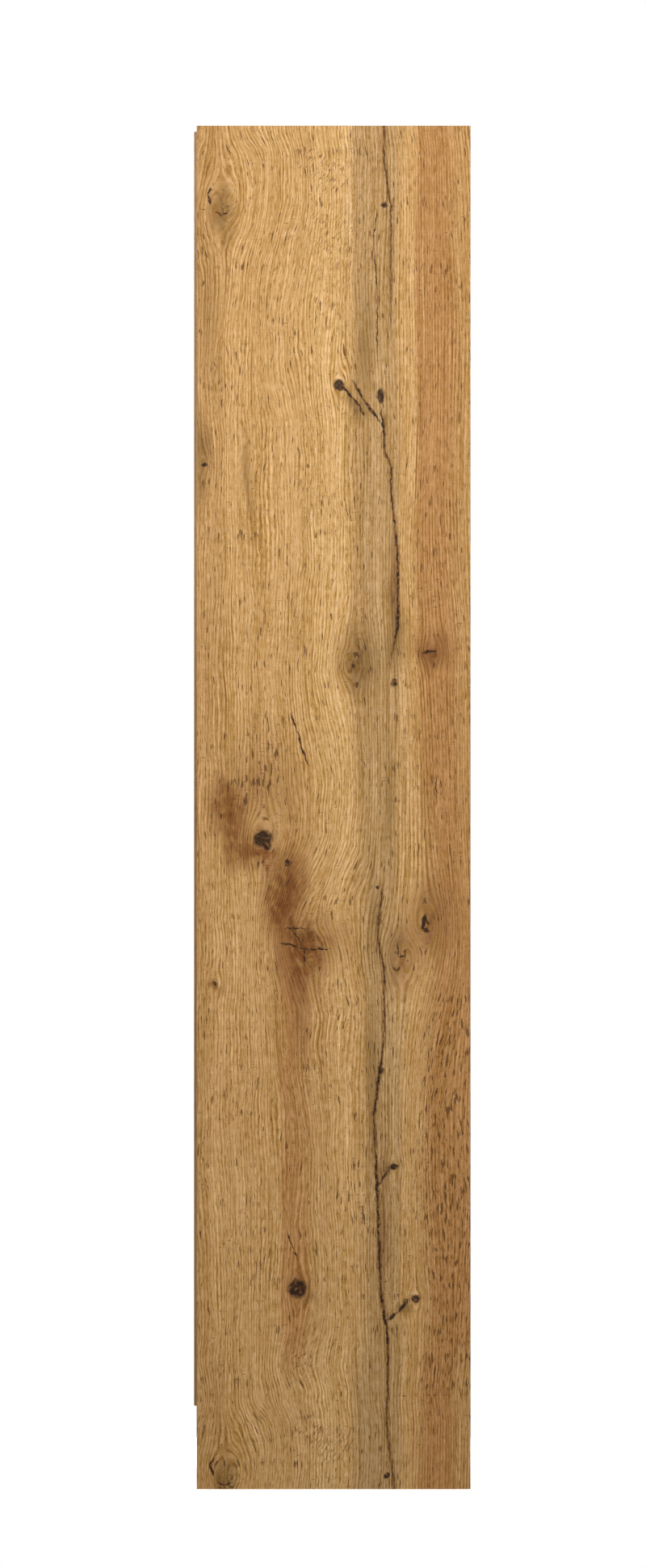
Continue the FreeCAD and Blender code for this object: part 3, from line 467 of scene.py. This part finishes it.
# Edge bands of the boards
# The same 1 mm ABS strip, glued on the front edge of each board with its lines running
# from side to side.
coat(["board_edge_bands"], [band_across])

# Plinth
# A faced board on edge under the bottom panel, held by cams and dowels between the sides
# and set back for the toes. Its grain runs from side to side.
plinth_decor = decor("melamine oak decor, plinth", ((0, 0, 1), -22), ((1, -20, 0), 610))
low, high = [corner * 1000 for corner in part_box("plinth_board")]
coat(["plinth_board"], [plinth_decor, chipboard], lambda centre, normal:
     0 if on_faces(centre, normal, 1, low.y, high.y) else 1)


def cast_or_pressed(name, colour, roughness, grit_mm, relief_mm, metallic=1.0, spread=0.12):
    """A bare metal or moulded plastic: one colour, uneven gloss and a fine tooth."""
    finish, tree, place = new_finish(name, Metallic=metallic)
    coarse = add(tree, "TexNoise", {"Vector": place, "Scale": 0.16, "Detail": 3.0}, out="Fac")
    tooth = add(tree, "TexNoise", {"Vector": place, "Scale": 1 / grit_mm, "Detail": 2.0}, out="Fac")
    gloss = add(tree, "MapRange", (coarse, 0.3, 0.7, roughness - spread, roughness + spread))
    dulled = 0.3 if metallic else 0.0
    dull = add(tree, "Mix", {0: add(tree, "Math", (coarse, dulled), operation="MULTIPLY"),
                             6: linear(colour), 7: linear("6b6a66")}, out=2, data_type="RGBA")
    show(tree, dull, tooth, relief_mm, gloss)
    return finish


# Cams, cam bolts and dowels
# Zinc cams pull the heads of steel bolts and so hold the boards; fluted beech dowels keep
# them in line. Moulded caps hide the cams that would show.
# tumbled castings are satin grey and slightly grained, plated steel is smoother and bluer,
# and the caps are matt, in a brown that sits between the decor's light and dark
zinc = cast_or_pressed("die-cast zinc, tumbled", "c4c5c6", 0.42, 0.5, 0.05)
bolt_steel = cast_or_pressed("zinc-plated steel", "c9cbcc", 0.3, 0.3, 0.01)
cap_plastic = cast_or_pressed("moulded polypropylene, oak brown", "b08a58", 0.5, 0.35, 0.02, 0.0)
coat(["cam_locks"], [zinc])
coat(["cam_bolts"], [bolt_steel])
coat(["cam_caps"], [cap_plastic])

# turned beech: pinkish cream with short darker ray flecks
beech, tree, place = new_finish("turned beech", Roughness=0.6)
scaled = add(tree, "VectorMath", (place, (1 / 9, 1 / 0.8, 1 / 0.8)), operation="MULTIPLY")
ray = add(tree, "TexNoise", {"Vector": scaled, "Scale": 1.0, "Detail": 3.0}, out="Fac")
show(tree, add(tree, "ValToRGB", (ray,), out="Color", stops=(
    (0.3, "a97f55"), (0.45, "d3ae84"), (0.7, "e4c8a2"))), ray, 0.05)
coat(["wood_dowels"], [beech])

# Back
# Two halves of 3 mm fibreboard slid into grooves and joined by an H strip. The print faces
# the shelves. The rear is bare, brown and hairy, with the faint weave of the press sheet.
back_print = decor("printed fibreboard, oak", ((1, 0, 0), 40), ((0, 0, 1), 300))
fibreboard, tree, place = new_finish("raw fibreboard", Roughness=0.85)
weave_mm = 1.6
weave = [add(tree, "Math", (add(tree, "Math", (add(tree, "SeparateXYZ", (place,), out=axis),
                                              2 * math.pi / weave_mm), operation="MULTIPLY"),),
             operation="SINE") for axis in "XZ"]
weave = add(tree, "Math", weave, operation="MULTIPLY")
pulp = add(tree, "TexNoise", {"Vector": place, "Scale": 0.35, "Detail": 6.0, "Roughness": 0.7},
           out="Fac")
large = add(tree, "TexNoise", {"Vector": place, "Scale": 0.012, "Detail": 3.0}, out="Fac")
tone = add(tree, "Math", (weave, 0.05, add(tree, "Math", (pulp, 0.55), operation="MULTIPLY")),
           operation="MULTIPLY_ADD")
tone = add(tree, "Math", (large, 0.25, tone), operation="MULTIPLY_ADD")
show(tree, add(tree, "ValToRGB", (tone,), out="Color", stops=(
    (0.2, "6d4c2c"), (0.4, "8d683f"), (0.6, "a9835a"))), tone, 0.15)
low, high = [corner * 1000 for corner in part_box("back_panel_left")]
coat(["back_panel_left", "back_panel_right"], [back_print, fibreboard], lambda centre, normal:
     0 if on_faces(centre, normal, 1, low.y) and normal.y < 0 else 1)

# extruded PVC: even brown, with the low sheen of a die-drawn skin
strip_plastic = cast_or_pressed("extruded PVC, oak brown", "a9845a", 0.45, 0.4, 0.01, 0.0)
coat(["back_joint_strip"], [strip_plastic])

# Shelf pins
# Turned steel pegs, four under each loose shelf, pushed by hand into rows of 5 mm bores.
# Bright nickel plating makes them a little warmer than zinc.
nickel_steel = cast_or_pressed("nickel-plated steel", "d2cdc2", 0.26, 0.4, 0.008, spread=0.08)
coat([f"shelf_pins_{number}" for number in range(1, 5)], [nickel_steel])

# Doors
# Faced chipboard, grain upright, bored for the hinge cups. The two are cut from different
# lengths of the paper, so their knots don't match. Each decor gives its shift on the sheet.
left_decor = decor("melamine oak decor, left door", ((-1, 0, 0), -191), ((0, 21, 1), 4820))
right_decor = decor("melamine oak decor, right door", ((1, 0, 0), -150), ((0, -17, 1), -2110))
for name, finish in (("left_door", left_decor), ("right_door", right_decor)):
    low, high = [corner * 1000 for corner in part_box(name)]
    coat([name], [finish, chipboard], lambda centre, normal:
         0 if on_faces(centre, normal, 1, low.y, high.y) else 1)

# Edge bands of the doors
# A thicker 2 mm ABS band glued all round each door, with rounded corners front and rear.
# Its printed lines follow each edge.
door_band_mm = 2.0
at_edge = 0.01
for name in ("left_door_edge_band", "right_door_edge_band"):
    low, high = [corner * 1000 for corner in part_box(name)]
    coat([name], [band_upright, band_across], lambda centre, normal:
         1 if min(centre.z - low.z, high.z - centre.z) < door_band_mm + at_edge
         and min(centre.x - low.x, high.x - centre.x) > door_band_mm - at_edge else 0)

# Hinges
# Cup hinges: a pressed steel cup in the door, a goose-necked arm on a pin, and a die-cast
# plate on the side, all nickel plated, with plated screws.
press_radius_mm = 0.25
sharp_edge = math.radians(40)


def with_soft_edges(name, body, finish):
    """A copy of a CAD node whose edges are rounded, as a press, a die or a mould leaves them."""
    shape = bmesh.new()
    shape.from_mesh(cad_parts[name].data)
    bmesh.ops.remove_doubles(shape, verts=shape.verts, dist=1e-6)
    bmesh.ops.dissolve_limit(shape, angle_limit=math.radians(0.5), verts=shape.verts,
                             edges=shape.edges)
    edges = [edge for edge in shape.edges if edge.calc_face_angle(0) > sharp_edge]
    bmesh.ops.bevel(shape, geom=edges, offset=press_radius_mm / 1000, offset_type="OFFSET",
                    affect="EDGES", segments=2, profile=0.5, material=-1, clamp_overlap=True)
    soft_mesh = bpy.data.meshes.new(f"{name}_rounded")
    shape.to_mesh(soft_mesh)
    shape.free()
    soft_mesh.materials.clear()
    soft_mesh.materials.append(finish)
    soft_mesh.shade_smooth()
    soft_mesh.set_sharp_from_angle(angle=math.radians(35))
    piece = bpy.data.objects.new(f"{name}_rounded", soft_mesh)
    bpy.context.scene.collection.objects.link(piece)
    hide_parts(name)
    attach(piece, body)


hinge_sides = ("left", "right")
for side in hinge_sides:
    with_soft_edges(f"hinge_cups_{side}", f"{side}_door", nickel_steel)
    with_soft_edges(f"hinge_arms_{side}", "carcass", nickel_steel)
    with_soft_edges(f"hinge_plates_{side}", "carcass", zinc)
coat([f"hinge_pins_{side}" for side in hinge_sides], [bolt_steel])
coat(["plate_screws", "arm_screws", "cup_screws_left", "cup_screws_right"], [bolt_steel])

# Push latches
# A moulded housing screwed under the middle shelf, a sprung plunger, and a steel disc on the
# door that the plunger's magnet holds.
# the housing has a fine spark-eroded tooth, and the plunger the waxy gloss of acetal
grey_plastic = cast_or_pressed("moulded ABS, grey", "5f5d5a", 0.42, 0.3, 0.03, 0.0)
white_plastic = cast_or_pressed("moulded acetal, white", "e4e1da", 0.33, 0.5, 0.008, 0.0)
for side in hinge_sides:
    with_soft_edges(f"push_latch_{side}", "carcass", grey_plastic)
    with_soft_edges(f"latch_plunger_{side}", f"{side}_plunger", white_plastic)
    with_soft_edges(f"latch_strike_{side}", f"{side}_door", nickel_steel)
coat(["latch_screws"], [bolt_steel])

# Wall brackets
# Bent steel angles screwed up into the top panel, and bored for the screws into the wall
# that keep the cabinet from tipping. They are zinc plated, as the screws are.
for side in hinge_sides:
    with_soft_edges(f"wall_bracket_{side}", "carcass", bolt_steel)
coat(["bracket_screws"], [bolt_steel])

# Floor, lights and camera
# A pale floor in a white room, and large soft lights: two on the side that is shown, high up,
# and one each in front of the doors, on the far side and behind.
mesh = bmesh.new()
bmesh.ops.create_grid(mesh, size=1.6)
floor_mesh = bpy.data.meshes.new("floor")
mesh.to_mesh(floor_mesh)
mesh.free()
floor = bpy.data.objects.new("floor", floor_mesh)
bpy.context.scene.collection.objects.link(floor)
# the floor's light isn't thrown back on the cabinet, whose foot would be too bright
floor.visible_diffuse = False
floor.visible_glossy = False
floor_finish, tree, place = new_finish("white studio floor", Roughness=0.9, Emission_Strength=0.7)
tree.nodes["Principled BSDF"].inputs["Base Color"].default_value = linear("e6e6e6")
tree.nodes["Principled BSDF"].inputs["Emission Color"].default_value = linear("ffffff")
floor_mesh.materials.append(floor_finish)

world = bpy.data.worlds.new("white room")
bpy.context.scene.world = world
world.use_nodes = True
tree = world.node_tree
seen = add(tree, "LightPath", out="Is Camera Ray")
strength = add(tree, "MapRange", (seen, 0, 1, 0.34, 1.0))
tree.links.new(strength, tree.nodes["Background"].inputs["Strength"])
tree.nodes["Background"].inputs["Color"].default_value = linear("ffffff")

for name, place, target, size, watts in (
        ("side light front", (2.3, -1.45, 2.2), (0.4, 0, 1.5), 0.9, 30),
        ("side light rear", (2.3, 1.45, 2.2), (0.4, 0, 1.5), 0.9, 30),
        ("door light", (-0.9, -3.4, 2.4), (0, -0.2, 1.2), 1.4, 108),
        ("far side light", (-3.2, 0.6, 2.4), (-0.4, 0, 1.2), 1.4, 80),
        ("rear light", (0.2, 3.4, 2.4), (0, 0.2, 1.2), 1.4, 80)):
    light_data = bpy.data.lights.new(name, "AREA")
    light_data.size = size
    light_data.energy = watts
    light = bpy.data.objects.new(name, light_data)
    light.location = place
    light.rotation_euler = (Vector(target) - light.location).to_track_quat("-Z", "Y").to_euler()
    bpy.context.scene.collection.objects.link(light)

camera_data = bpy.data.cameras.new("camera")
camera_data.lens = 400
camera_data.sensor_width = 36
camera_data.clip_end = 200
camera = bpy.data.objects.new("camera", camera_data)
camera.location = (25.57, -0.0133, 1.0189)
camera.rotation_euler = (math.radians(90), 0, math.radians(90))
bpy.context.scene.collection.objects.link(camera)
bpy.context.scene.camera = camera
bpy.context.scene.view_settings.view_transform = "Standard"
